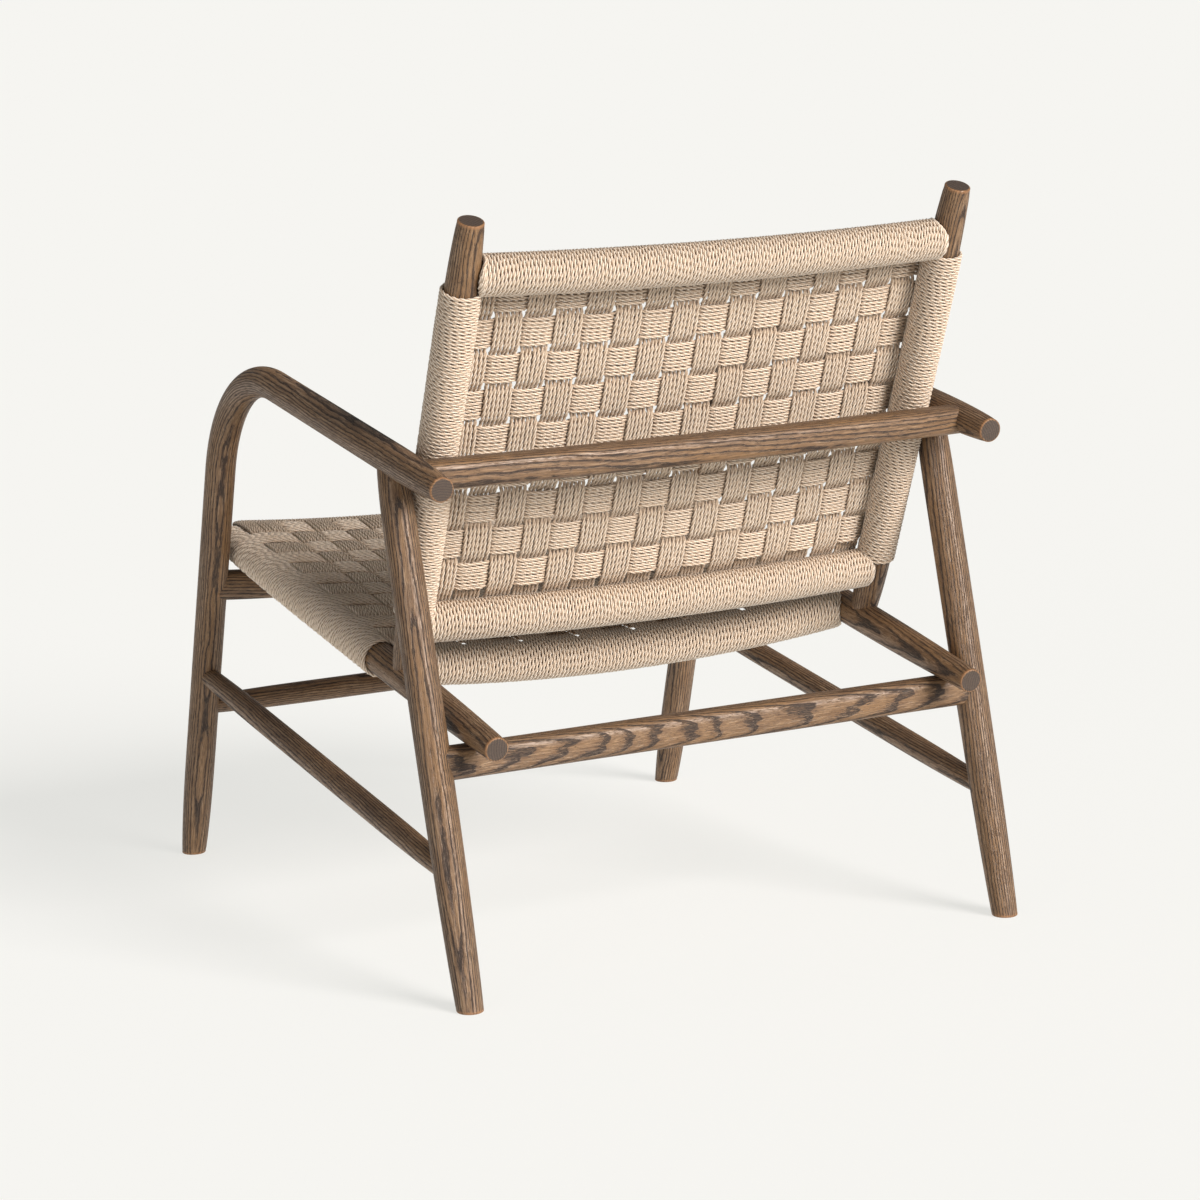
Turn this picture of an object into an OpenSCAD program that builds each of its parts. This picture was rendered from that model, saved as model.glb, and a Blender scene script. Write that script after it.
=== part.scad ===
// Wooden armchair with a bent arm frame and a cord-woven seat and back.
// Millimetres, +Z up, the chair faces -Y, the sitter's left is +X.
// The origin is on the floor, midway between the side frames and midway between the
// front rims of the front feet and the rear rims of the rear feet.

/* [Side frames] */
// Distance from the chair's middle to the axis of each side frame
side_x = 310.5; // [310:0.5:318]
// Distance from the rear foot forward to the front foot, axis to axis on the floor
foot_run = 754; // [735:1:775]
// Lean of the front leg towards the back, in degrees from vertical
front_lean = 18.26; // [17.4:0.02:19.2]
// Lean of the rear leg towards the front, in degrees from vertical
rear_lean = 14.17; // [13.6:0.01:14.8]
// Fall of the arm towards its rear end, in degrees
arm_fall = 8.53; // [7.8:0.01:9.2]
// Height of the arm's axis straight above the rear foot
arm_z = 510.1; // [500:0.1:522]
// Distance from the rear foot forward to the arm's rear end
arm_end_run = 13; // [5:1:25]
// Radius of the bend between front leg and arm, on the bar's axis
bend_r = 160; // [140:1:180]
// Diameter of the front leg, the bend and the arm
arm_d = 33.2; // [31:0.1:34.5]
// Diameter of the rear leg at its thickest
leg_d = 34.2; // [32:0.1:35]
// Diameter of every foot on the floor
foot_d = 27; // [25:0.1:29]
// Diameter of the arm's rear end
arm_end_d = 25; // [23:0.1:27]
// Diameter of the low stretcher between front and rear leg
low_d = 25; // [22:0.1:27]

/* [Seat frame] */
// Distance from the chair's middle to the seat side rails and back posts
seat_x = 271.5; // [268:0.5:271.5]
// Fall of the seat towards the back, in degrees
seat_fall = 9.59; // [9.2:0.01:9.9]
// Height of the seat side rail's axis straight above the rear foot
seat_z = 256.9; // [254:0.1:259]
// Length of the seat side rail in front of the rear foot, along the rail
seat_run = 728; // [724:1:740]
// Diameter of the seat and back rails at their thickest
rail_d = 34.5; // [33:0.1:35]
// Diameter of the seat side rail's ends
rail_end_d = 25; // [23:0.1:27]
// Dip of the seat's rear rail at its middle
rear_dip = 18; // [12:0.1:20]
// Dip of the seat's front rail at its middle
front_dip = 14; // [10:0.1:17]

/* [Back] */
// Height of the back posts' top ends
post_z = 766; // [758:1:774]
// Distance of the back posts' top ends in front of the rear foot
post_run = 6.6; // [4:0.1:10]
// Lean of the back posts towards the back, in degrees from vertical
back_lean = 23.46; // [23:0.02:24]
// Length of a back post above the seat side rail
post_len = 507; // [503:1:510]
// Bow of the back rails towards the rear at their middle
back_bow = 12; // [9:0.1:15]

/* [Cord] */
// Diameter of the twisted cord
cord_d = 4; // [3.4:0.1:4.4]
// Thickness of the woven bands where they cross
weave_t = 9; // [8:0.1:10]

/* [Hidden] */
$fn = 96;

// colours
wood = [0.33, 0.24, 0.17];
paper_cord = [0.80, 0.70, 0.56];
steel = [0.45, 0.44, 0.42];

// side frame geometry, in the plane of the frame
front_y = -foot_run;
corner_z = (arm_z - front_y * tan(arm_fall)) / (1 + tan(front_lean) * tan(arm_fall));
corner_y = front_y + corner_z * tan(front_lean);
turn = 90 - front_lean + arm_fall;
tangent_len = bend_r * tan(turn / 2);
leg_straight = corner_z / cos(front_lean) - tangent_len;
arm_straight = (-arm_end_run - corner_y) / cos(arm_fall) - tangent_len;
bend_y = front_y + leg_straight * sin(front_lean) + bend_r * cos(front_lean);
bend_z = leg_straight * cos(front_lean) - bend_r * sin(front_lean);
rear_leg_top_z = arm_z / (1 - tan(rear_lean) * tan(arm_fall));
rear_leg_len = rear_leg_top_z / cos(rear_lean);
foot_spare = 8;
// the bar is drawn a little thinner by bending, and the bend laps into both straight parts
bend_d = arm_d - 0.1;
bend_lap = 0.1;

// tapers: lengths over which bars swell from an end to full thickness
foot_taper = 150;
arm_taper = 137;
rear_foot_taper = 300;
rear_top_taper = 100;
rear_top_d = 27;
rail_taper = 360;
post_top_taper = 150;
post_bottom_taper = 100;
rim_r = 1.5;
taper_steps = 8;
rim_steps = 3;

// stretchers and cross rails
low_end_d = 20;
low_rear_z = 131;
low_front_z = 223;
front_low_z = 185;
rear_bar_z = 235;
rear_bar_h = 33.6;
rear_bar_w = 29;
front_bar_z = 330;
front_bar_h = 33;
front_bar_w = 31;
front_bar_dip = 13;
arm_bar_z = 519;
arm_bar_y = -72;
arm_bar_h = 30;
arm_bar_w = 35;
arm_bar_bow = 15.5;
section_power = 3;
section_points = 32;
shell_fn = 720;

// tenons
low_tenon = 12;
rail_tenon = 18;
leg_tenon = 16;
tenon_depth = 12;
post_tenon = 15;
post_tenon_len = 16;

// seat and back rails, measured along the seat rail and down the back post
rear_roll_run = 252;
front_roll_run = 697.5;
top_rail_down = 58;
bottom_rail_down = 451;
wrap_down_start = 78;
wrap_down_end = 439;
post_top_d = 26.5;
post_mid_d = 34;
post_bottom_d = 27;
seat_weave_up = 15.5;
back_weave_fore = 16;
weave_dip = 16;
weave_half = 262;

// fixings
bolt_d = 6;
bolt_head_d = 13;
bolt_head_h = 4;
bolt_recess = 5;
bolt_in_rail = 8;
dowel_d = 10;
dowel_len = 52;
dowel_start_y = -60;

// middle of the footprint, which the origin sits on
foot_r = foot_d / 2;
mid_y = (front_y - foot_r / cos(front_lean) + foot_r / cos(rear_lean)) / 2;

// thickness rule of a bar: quick swell at each end, then constant
function ease(u) = 1 - pow(1 - min(1, max(0, u)), 3);
function swell(from_d, to_d, u) = (from_d + (to_d - from_d) * ease(u)) / 2;
function bar_r(s, len, d0, dm, d1, t0, t1) =
  s < t0 ? swell(d0, dm, s / t0) :
  s > len - t1 ? swell(d1, dm, (len - s) / t1) : dm / 2;

// half outline of a bar turned about +Z, with a rounded rim at each end
function bar_outline(len, d0, dm, d1, t0, t1, spare) = concat(
  [[0, -spare]],
  [for (i = [0:rim_steps])
    [d0 / 2 - rim_r + rim_r * sin(90 * i / rim_steps),
     -spare + rim_r - rim_r * cos(90 * i / rim_steps)]],
  [for (i = [1:taper_steps]) let(s = t0 * pow(i / taper_steps, 1.4))
    [bar_r(s, len, d0, dm, d1, t0, t1), s]],
  [for (i = [taper_steps:-1:1]) let(s = len - t1 * pow(i / taper_steps, 1.4))
    [bar_r(s, len, d0, dm, d1, t0, t1), s]],
  [for (i = [rim_steps:-1:0])
    [d1 / 2 - rim_r + rim_r * sin(90 * i / rim_steps),
     len - rim_r + rim_r * cos(90 * i / rim_steps)]],
  [[0, len]]
);

// rounded-square cross-section, w wide along X and h tall along Y
function squash(v, p) = sign(v) * pow(abs(v), 2 / p);
function rounded(w, h, p) = [
  for (i = [0:section_points - 1]) let(a = 360 * (i + 0.5) / section_points)
    [w / 2 * squash(cos(a), p), h / 2 * squash(sin(a), p)]
];

module bar(len, d0, dm, d1, t0, t1, spare = 0) {
  rotate_extrude()
    polygon(bar_outline(len, d0, dm, d1, t0, t1, spare));
}

// sweeps a cross-section along X from -half to half, bowed towards +Y at the middle
module bowed(half, bow) {
  r = (half * half + bow * bow) / (2 * bow);
  reach = asin(half / r);
  translate([0, bow - r, 0])
    rotate([0, 0, 90 - reach])
      rotate_extrude(angle = 2 * reach, $fn = shell_fn)
        translate([r, 0])
          children();
}

// puts the side frames' own axes on the shared origin
module place() {
  translate([0, -mid_y, 0])
    children();
}

// the seat's plane: +Y runs down the side rail to the rear, +Z stands on the seat
module on_seat() {
  translate([0, 0, seat_z])
    rotate([-seat_fall, 0, 0])
      children();
}

// the back's plane: +Z runs up the post from its top end, +Y points to the rear
module on_back() {
  translate([0, -post_run, post_z])
    rotate([-back_lean, 0, 0])
      children();
}

module twice() {
  children();
  mirror([1, 0, 0])
    children();
}

// cylinder along X that crosses from the chair's middle side into the side frame
module side_tenon(y, z, d) {
  translate([side_x - arm_d / 2 - tenon_depth / 2, y, z])
    rotate([0, 90, 0])
      cylinder(h = tenon_depth * 1.5, d = d);
}

module floor_cut() {
  translate([0, -2 * foot_run, -100])
    cube([2 * side_x, 4 * foot_run, 100]);
}

// solid of the front leg, bend and arm before any hole
module arm_leg_solid() {
  difference() {
    union() {
      translate([side_x, front_y, 0])
        rotate([-front_lean, 0, 0])
          rotate_extrude()
            polygon(concat(
              [[0, -foot_spare], [foot_r, -foot_spare]],
              [for (i = [0:taper_steps]) let(s = foot_taper * pow(i / taper_steps, 1.4))
                [swell(foot_d, arm_d, s / foot_taper), s]],
              [[arm_d / 2, leg_straight], [0, leg_straight]]
            ));
      translate([side_x, bend_y, bend_z])
        rotate([90, 0, 90])
          rotate([0, 0, 90 - arm_fall - bend_lap])
            rotate_extrude(angle = turn + 2 * bend_lap)
              translate([bend_r, 0])
                circle(d = bend_d);
      translate([side_x, -arm_end_run, arm_z + arm_end_run * tan(arm_fall)])
        rotate([90 - arm_fall, 0, 0])
          rotate_extrude()
            polygon(concat(
              [[0, 0]],
              [for (i = [0:rim_steps])
                [arm_end_d / 2 - rim_r + rim_r * sin(90 * i / rim_steps),
                 rim_r - rim_r * cos(90 * i / rim_steps)]],
              [for (i = [1:taper_steps]) let(s = arm_taper * pow(i / taper_steps, 1.4))
                [swell(arm_end_d, arm_d, s / arm_taper), s]],
              [[arm_d / 2, arm_straight], [0, arm_straight]]
            ));
    }
    floor_cut();
  }
}

module rear_leg_solid() {
  difference() {
    translate([side_x, 0, 0])
      rotate([rear_lean, 0, 0])
        bar(rear_leg_len, foot_d, leg_d, rear_top_d, rear_foot_taper, rear_top_taper,
          foot_spare);
    floor_cut();
  }
}

module rear_leg_tenon() {
  translate([side_x, 0, 0])
    rotate([rear_lean, 0, 0])
      translate([0, 0, rear_leg_len - arm_d])
        cylinder(h = arm_d + 6, d = leg_tenon);
}

low_rear_y = -low_rear_z * tan(rear_lean);
low_front_y = front_y + low_front_z * tan(front_lean);
low_len = norm([low_front_y - low_rear_y, low_front_z - low_rear_z]);
low_rise = atan2(low_front_z - low_rear_z, low_rear_y - low_front_y);
front_low_y = front_y + front_low_z * tan(front_lean);
front_bar_y = front_y + front_bar_z * tan(front_lean);
rear_bar_y = -rear_bar_z * tan(rear_lean);

// +Z of the child runs along the low side stretcher from rear leg to front leg
module along_low() {
  translate([side_x, low_rear_y, low_rear_z])
    rotate([90 - low_rise, 0, 0])
      children();
}

module low_tenons() {
  inset = arm_d / 2 - tenon_depth + 2;
  along_low()
    translate([0, 0, inset])
      cylinder(h = 3 * tenon_depth, d = low_tenon);
  along_low()
    translate([0, 0, low_len - inset - 3 * tenon_depth])
      cylinder(h = 3 * tenon_depth, d = low_tenon);
}

module front_low_tenon() {
  side_tenon(front_low_y, front_low_z, low_tenon);
}

module front_bar_tenon() {
  side_tenon(front_bar_y, front_bar_z, rail_tenon);
}

module rear_bar_tenon() {
  side_tenon(rear_bar_y, rear_bar_z, rail_tenon);
}

module arm_bar_tenon() {
  side_tenon(arm_bar_y, arm_bar_z, rail_tenon);
}

module arm_leg() {
  difference() {
    arm_leg_solid();
    rear_leg_tenon();
    low_tenons();
    front_low_tenon();
    front_bar_tenon();
    arm_bar_tenon();
  }
}

module rear_leg() {
  difference() {
    rear_leg_solid();
    arm_leg_solid();
    low_tenons();
    rear_bar_tenon();
  }
  difference() {
    rear_leg_tenon();
    translate([side_x, 0, 0])
      rotate([rear_lean, 0, 0])
        cylinder(h = rear_leg_len - arm_d + 1, d = leg_tenon);
  }
}

module side_stretcher() {
  difference() {
    along_low()
      bar(low_len, low_end_d, low_d, low_end_d, low_len / 3, low_len / 3);
    arm_leg_solid();
    rear_leg_solid();
  }
  low_tenons();
}

module front_low_bar() {
  difference() {
    translate([-side_x, front_low_y, front_low_z])
      rotate([0, 90, 0])
        bar(2 * side_x, low_end_d, low_d, low_end_d, side_x / 2, side_x / 2);
    twice()
      arm_leg_solid();
  }
  twice()
    front_low_tenon();
}

module seat_rail_bar() {
  on_seat()
    translate([seat_x, 3, 0])
      rotate([90, 0, 0])
        bar(seat_run + 3, rail_end_d, rail_d, rail_end_d, rail_taper, rail_taper);
}

// the side rail swollen by its cord turns, along its whole length
module seat_rail_wrapped() {
  on_seat()
    translate([seat_x, 3, 0])
      rotate([90, 0, 0])
        bar(seat_run + 3, rail_end_d + 2 * cord_d, rail_d + 2 * cord_d,
          rail_end_d + 2 * cord_d, rail_taper, rail_taper);
}

module bolt(y, z_from, z_to) {
  translate([seat_x, y, z_from + bolt_recess - bolt_head_h])
    cylinder(h = bolt_head_h, d = bolt_head_d);
  translate([seat_x, y, z_from + bolt_recess - 1])
    cylinder(h = z_to - z_from - bolt_recess + 1, d = bolt_d);
}

rear_bolt_from = rear_bar_z - rear_bar_h / 2;
rear_bolt_to = seat_z - rear_bar_y * tan(seat_fall) + bolt_in_rail;
front_bolt_from = front_bar_z - front_bar_h / 2 - 2;
front_bolt_to = seat_z - front_bar_y * tan(seat_fall) + bolt_in_rail;

module all_bolts() {
  twice() {
    bolt(rear_bar_y, rear_bolt_from, rear_bolt_to);
    bolt(front_bar_y, front_bolt_from, front_bolt_to);
  }
}

// shank hole and flat-bottomed recess for each bolt
module bolt_holes() {
  all_bolts();
  twice() {
    translate([seat_x, rear_bar_y, rear_bolt_from - 20])
      cylinder(h = 20 + bolt_recess, d = bolt_head_d);
    translate([seat_x, front_bar_y, front_bolt_from - 20])
      cylinder(h = 20 + bolt_recess, d = bolt_head_d);
  }
}

module front_bar() {
  difference() {
    translate([0, front_bar_y, front_bar_z])
      rotate([-90, 0, 0])
        bowed(side_x, front_bar_dip)
          polygon(rounded(front_bar_h, front_bar_w, section_power));
    twice() {
      arm_leg_solid();
      seat_rail_wrapped();
    }
    bolt_holes();
  }
  twice()
    front_bar_tenon();
}

module rear_bar() {
  difference() {
    translate([-side_x, rear_bar_y, rear_bar_z])
      rotate([0, 90, 0])
        linear_extrude(2 * side_x)
          polygon(rounded(rear_bar_h, rear_bar_w, section_power));
    twice() {
      rear_leg_solid();
      seat_rail_bar();
    }
    bolt_holes();
  }
  twice()
    rear_bar_tenon();
}

module dowel_pair() {
  twice()
    translate([seat_x, dowel_start_y, arm_bar_z])
      rotate([90, 0, 0])
        cylinder(h = dowel_len, d = dowel_d);
}

module arm_bar() {
  difference() {
    translate([0, arm_bar_y, arm_bar_z])
      bowed(side_x, arm_bar_bow)
        polygon(rounded(arm_bar_w, arm_bar_h, section_power));
    twice() {
      arm_leg_solid();
      post_wrapped();
    }
    dowel_pair();
  }
  twice()
    arm_bar_tenon();
}

module post_bar() {
  on_back()
    translate([seat_x, 0, -post_len])
      bar(post_len, post_bottom_d, post_mid_d, post_top_d, post_bottom_taper,
        post_top_taper);
}

// the post swollen by its cord turns, between the first turn and the last
module post_wrapped() {
  on_back()
    translate([seat_x, 0, -wrap_down_end])
      cylinder(h = wrap_down_end - wrap_down_start, d = post_mid_d + 2 * cord_d + 0.5);
}

module post_foot_tenon() {
  on_back()
    translate([seat_x, 0, -post_len - post_tenon_len])
      cylinder(h = 2 * post_tenon_len, d = post_tenon);
}

module back_post() {
  difference() {
    post_bar();
    seat_rail_bar();
    back_bars_tenons();
    dowel_pair();
  }
  post_foot_tenon();
}

// turned ends of the back rails that enter the posts
module back_bars_tenons() {
  on_back()
    for (down = [top_rail_down, bottom_rail_down])
      translate([seat_x - post_mid_d / 2 - tenon_depth / 2, 0, -down])
        rotate([0, 90, 0])
          cylinder(h = tenon_depth * 1.5, d = rail_tenon);
}

module back_rail_core(down, d) {
  on_back()
    translate([0, 0, -down])
      bowed(seat_x, back_bow)
        circle(d = d);
}

module back_rail(down) {
  difference() {
    back_rail_core(down, rail_d);
    twice()
      post_bar();
  }
  intersection() {
    twice()
      back_bars_tenons();
    on_back()
      translate([-2 * seat_x, -rail_d, -down - rail_d])
        cube([4 * seat_x, 2 * rail_d, 2 * rail_d]);
  }
}

module seat_cross_core(run, dip, d) {
  on_seat()
    translate([0, -run, 0])
      rotate([-90, 0, 0])
        bowed(seat_x, dip)
          circle(d = d);
}

// turned ends of the seat's cross rails that enter the side rails
module seat_bars_tenons() {
  on_seat()
    for (run = [rear_roll_run, front_roll_run])
      translate([seat_x - rail_d / 2 - tenon_depth / 2, -run, 0])
        rotate([0, 90, 0])
          cylinder(h = tenon_depth * 1.5, d = low_tenon);
}

module seat_cross_rail(run, dip) {
  difference() {
    seat_cross_core(run, dip, rail_d);
    twice()
      seat_rail_bar();
  }
  intersection() {
    twice()
      seat_bars_tenons();
    on_seat()
      translate([-2 * seat_x, -run - rail_d, -rail_d])
        cube([4 * seat_x, 2 * rail_d, 2 * rail_d]);
  }
}

module seat_rail() {
  difference() {
    seat_rail_bar();
    seat_bars_tenons();
    post_foot_tenon();
    all_bolts();
  }
}

wrap_d = rail_d + 2 * cord_d + 0.5;

module seat_cross_wrap(run, dip) {
  difference() {
    seat_cross_core(run, dip, wrap_d);
    seat_cross_core(run, dip, rail_d);
    twice()
      seat_rail_bar();
  }
}

module seat_side_wrap() {
  difference() {
    seat_rail_wrapped();
    seat_rail_bar();
    on_seat()
      translate([0, -rear_roll_run - wrap_d / 2, -rail_d])
        cube([2 * seat_x, seat_run, 2 * rail_d]);
    on_seat()
      translate([0, -front_roll_run + wrap_d / 2 - seat_run, -rail_d])
        cube([2 * seat_x, seat_run, 2 * rail_d]);
    all_bolts();
  }
}

module seat_sheet() {
  difference() {
    on_seat()
      translate([0, -front_roll_run, seat_weave_up])
        rotate([-90, 0, 0])
          bowed(weave_half, weave_dip)
            translate([-weave_t / 2, 0])
              square([weave_t, front_roll_run - rear_roll_run]);
    seat_cross_core(rear_roll_run, rear_dip, wrap_d);
    seat_cross_core(front_roll_run, front_dip, wrap_d);
    twice()
      seat_rail_wrapped();
  }
}

module back_rail_wrap(down) {
  difference() {
    back_rail_core(down, wrap_d);
    back_rail_core(down, rail_d);
    twice() {
      post_bar();
      post_wrapped();
    }
  }
}

module post_wrap() {
  difference() {
    post_wrapped();
    post_bar();
    dowel_pair();
  }
}

module back_sheet() {
  difference() {
    on_back()
      translate([0, -back_weave_fore, -bottom_rail_down])
        bowed(weave_half, back_bow)
          translate([-weave_t / 2, 0])
            square([weave_t, bottom_rail_down - top_rail_down]);
    back_rail_core(top_rail_down, wrap_d);
    back_rail_core(bottom_rail_down, wrap_d);
    twice()
      post_wrapped();
  }
}

module arm_leg_left() { color(wood) place() arm_leg(); }
module arm_leg_right() { color(wood) mirror([1, 0, 0]) place() arm_leg(); }
module rear_leg_left() { color(wood) place() rear_leg(); }
module rear_leg_right() { color(wood) mirror([1, 0, 0]) place() rear_leg(); }
module side_stretcher_left() { color(wood) place() side_stretcher(); }
module side_stretcher_right() { color(wood) mirror([1, 0, 0]) place() side_stretcher(); }
module front_stretcher() { color(wood) place() front_low_bar(); }
module front_cross_rail() { color(wood) place() front_bar(); }
module rear_stretcher() { color(wood) place() rear_bar(); }
module back_cross_rail() { color(wood) place() arm_bar(); }
module seat_rail_left() { color(wood) place() seat_rail(); }
module seat_rail_right() { color(wood) mirror([1, 0, 0]) place() seat_rail(); }
module seat_front_rail() { color(wood) place() seat_cross_rail(front_roll_run, front_dip); }
module seat_rear_rail() { color(wood) place() seat_cross_rail(rear_roll_run, rear_dip); }
module back_post_left() { color(wood) place() back_post(); }
module back_post_right() { color(wood) mirror([1, 0, 0]) place() back_post(); }
module back_top_rail() { color(wood) place() back_rail(top_rail_down); }
module back_bottom_rail() { color(wood) place() back_rail(bottom_rail_down); }
module seat_side_wrap_left() { color(paper_cord) place() seat_side_wrap(); }
module seat_side_wrap_right() { color(paper_cord) mirror([1, 0, 0]) place() seat_side_wrap(); }
module seat_front_wrap() { color(paper_cord) place() seat_cross_wrap(front_roll_run, front_dip); }
module seat_rear_wrap() { color(paper_cord) place() seat_cross_wrap(rear_roll_run, rear_dip); }
module seat_weave() { color(paper_cord) place() seat_sheet(); }
module back_top_wrap() { color(paper_cord) place() back_rail_wrap(top_rail_down); }
module back_bottom_wrap() { color(paper_cord) place() back_rail_wrap(bottom_rail_down); }
module post_wrap_left() { color(paper_cord) place() post_wrap(); }
module post_wrap_right() { color(paper_cord) mirror([1, 0, 0]) place() post_wrap(); }
module back_weave() { color(paper_cord) place() back_sheet(); }
module seat_bolts() { color(steel) place() all_bolts(); }
module back_dowels() { color(wood) place() dowel_pair(); }

arm_leg_left();
arm_leg_right();
rear_leg_left();
rear_leg_right();
side_stretcher_left();
side_stretcher_right();
front_stretcher();
front_cross_rail();
rear_stretcher();
back_cross_rail();
seat_rail_left();
seat_rail_right();
seat_front_rail();
seat_rear_rail();
back_post_left();
back_post_right();
back_top_rail();
back_bottom_rail();
seat_side_wrap_left();
seat_side_wrap_right();
seat_front_wrap();
seat_rear_wrap();
seat_weave();
back_top_wrap();
back_bottom_wrap();
post_wrap_left();
post_wrap_right();
back_weave();
seat_bolts();
back_dowels();
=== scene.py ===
import math
import bpy
import numpy as np
from mathutils import Matrix


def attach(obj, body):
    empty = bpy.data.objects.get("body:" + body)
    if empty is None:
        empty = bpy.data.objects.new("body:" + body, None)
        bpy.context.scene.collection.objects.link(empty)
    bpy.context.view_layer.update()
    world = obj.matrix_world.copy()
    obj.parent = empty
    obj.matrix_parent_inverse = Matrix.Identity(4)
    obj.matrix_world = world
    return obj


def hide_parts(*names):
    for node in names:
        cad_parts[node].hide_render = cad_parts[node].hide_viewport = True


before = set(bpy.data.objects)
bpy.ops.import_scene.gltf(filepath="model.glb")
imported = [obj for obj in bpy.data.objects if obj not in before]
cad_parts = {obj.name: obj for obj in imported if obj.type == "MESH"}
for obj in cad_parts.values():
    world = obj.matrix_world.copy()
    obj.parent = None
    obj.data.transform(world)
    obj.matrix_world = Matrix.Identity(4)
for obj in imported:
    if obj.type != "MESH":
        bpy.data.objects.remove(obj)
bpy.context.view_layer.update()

# ------------------------------------------------------------------ dimensions, mm
# The same names and sizes as the CAD source; degrees for angles.
SIDE_X, FOOT_RUN, FRONT_LEAN, REAR_LEAN = 310.5, 754.0, 18.26, 14.17
ARM_FALL, ARM_Z, ARM_END_RUN, BEND_R = 8.53, 510.1, 13.0, 160.0
ARM_D, LEG_D, FOOT_D, ARM_END_D, LOW_D, LOW_END_D = 33.2, 34.2, 27.0, 25.0, 25.0, 20.0
FOOT_TAPER, ARM_TAPER, REAR_FOOT_TAPER = 150.0, 137.0, 300.0
REAR_TOP_TAPER, REAR_TOP_D = 100.0, 27.0
SEAT_X, SEAT_FALL, SEAT_Z, SEAT_RUN = 271.5, 9.59, 256.9, 728.0
RAIL_D, RAIL_END_D, RAIL_TAPER, RAIL_SPARE = 34.5, 25.0, 360.0, 3.0
REAR_DIP, FRONT_DIP = 18.0, 14.0
POST_Z, POST_RUN, BACK_LEAN, POST_LEN, BACK_BOW = 766.0, 6.6, 23.46, 507.0, 12.0
POST_TOP_D, POST_MID_D, POST_BOTTOM_D = 26.5, 34.0, 27.0
POST_TOP_TAPER, POST_BOTTOM_TAPER = 150.0, 100.0
LOW_REAR_Z, LOW_FRONT_Z, FRONT_LOW_Z = 131.0, 223.0, 185.0
REAR_BAR_Z, REAR_BAR_H, REAR_BAR_W = 235.0, 33.6, 29.0
FRONT_BAR_Z, FRONT_BAR_H, FRONT_BAR_W, FRONT_BAR_DIP = 330.0, 33.0, 31.0, 13.0
ARM_BAR_Z, ARM_BAR_Y, ARM_BAR_H, ARM_BAR_W, ARM_BAR_BOW = 519.0, -72.0, 30.0, 35.0, 15.5
SECTION_POWER = 3.0
REAR_ROLL_RUN, FRONT_ROLL_RUN = 252.0, 697.5
TOP_RAIL_DOWN, BOTTOM_RAIL_DOWN = 58.0, 451.0
MM = 0.001

# the woven bands: columns lie side by side across the chair, rows along the seat and down
# the back; a band has fewer cords than its bar has turns over the same width
SEAT_COLUMNS, SEAT_COLUMN_W = 15, 33.3
BACK_COLUMNS, BACK_COLUMN_W = 16, 32.1
COLUMN_CORDS = 7
SEAT_ROWS, SEAT_ROW_H, SEAT_ROW_CORDS = 11, 37.7, 8
SEAT_ROWS_RUN = 690.0
BACK_ROWS, BACK_ROW_H, BACK_ROW_CORDS = 9, 39.25, 8
BACK_ROWS_DOWN = 73.3
ROLL_TURNS_PER_COLUMN, RAIL_TURNS_PER_ROW, POST_TURNS_PER_ROW = 8, 9, 10
POST_WRAP_END = 439.0
SEAT_PLANE_UP, SHEET_HALF = 17.3, 262.0
BACK_PLANE_TOP_FORE, BACK_PLANE_LOW_FORE = 19.5, 12.5
BAND_SPREAD = 0.055
ROLL_END = 261.0
ROLL_RAIL_END_D = 22.0
# rise of a cord above and below its sheet, how square its waves are, how much more the
# middle cords of a band rise, and the length of one over and under
SEAT_LIFT, BACK_LIFT = 3.3, 2.5
WAVE_SQUARENESS, BAND_CROWN, WEAVE_PERIOD = 2.2, 0.16, 72.0
# how light a cord stays under its painted shade where it passes through its sheet, and the
# share of its rise at which the painted shade ends
PAINTED_SHADE_LEAST, PAINTED_SHADE_ENDS_AT = 0.30, 0.85
# the cord: three plies with rounded crests, twisted once in each lay
CORD_R = 2.0
CREST_R, GROOVE_R = 2.2, 1.5
PLIES, CORD_LAY = 3, 23.0
RING_STEP, PATH_STEP, ARC_POINTS = 2.1, 1.2, 70
# a cord goes nearly all the way round the bar at each of its ends
SWEEP = 322.0
RAIL_R = RAIL_D / 2


def sind(a):
    return math.sin(math.radians(a))


def cosd(a):
    return math.cos(math.radians(a))


def tand(a):
    return math.tan(math.radians(a))


FRONT_Y = -FOOT_RUN
CORNER_Z = (ARM_Z - FRONT_Y * tand(ARM_FALL)) / (1 + tand(FRONT_LEAN) * tand(ARM_FALL))
CORNER_Y = FRONT_Y + CORNER_Z * tand(FRONT_LEAN)
TURN = 90 - FRONT_LEAN + ARM_FALL
TANGENT_LEN = BEND_R * tand(TURN / 2)
LEG_STRAIGHT = CORNER_Z / cosd(FRONT_LEAN) - TANGENT_LEN
ARM_STRAIGHT = (-ARM_END_RUN - CORNER_Y) / cosd(ARM_FALL) - TANGENT_LEN
BEND_Y = FRONT_Y + LEG_STRAIGHT * sind(FRONT_LEAN) + BEND_R * cosd(FRONT_LEAN)
BEND_Z = LEG_STRAIGHT * cosd(FRONT_LEAN) - BEND_R * sind(FRONT_LEAN)
REAR_LEG_TOP_Z = ARM_Z / (1 - tand(REAR_LEAN) * tand(ARM_FALL))
REAR_LEG_LEN = REAR_LEG_TOP_Z / cosd(REAR_LEAN)
FOOT_R = FOOT_D / 2
MID_Y = (FRONT_Y - FOOT_R / cosd(FRONT_LEAN) + FOOT_R / cosd(REAR_LEAN)) / 2

rng = np.random.default_rng(20261118)


# ------------------------------------------------------------------ frames
def leaned(points, fall, y0, z0):
    """Points of a plane that falls by fall degrees, in the chair's own frame."""
    x, y, z = points[..., 0], points[..., 1], points[..., 2]
    c, s = cosd(fall), sind(fall)
    return np.stack([x, y0 - MID_Y + y * c + z * s, z0 - y * s + z * c], -1)


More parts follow.
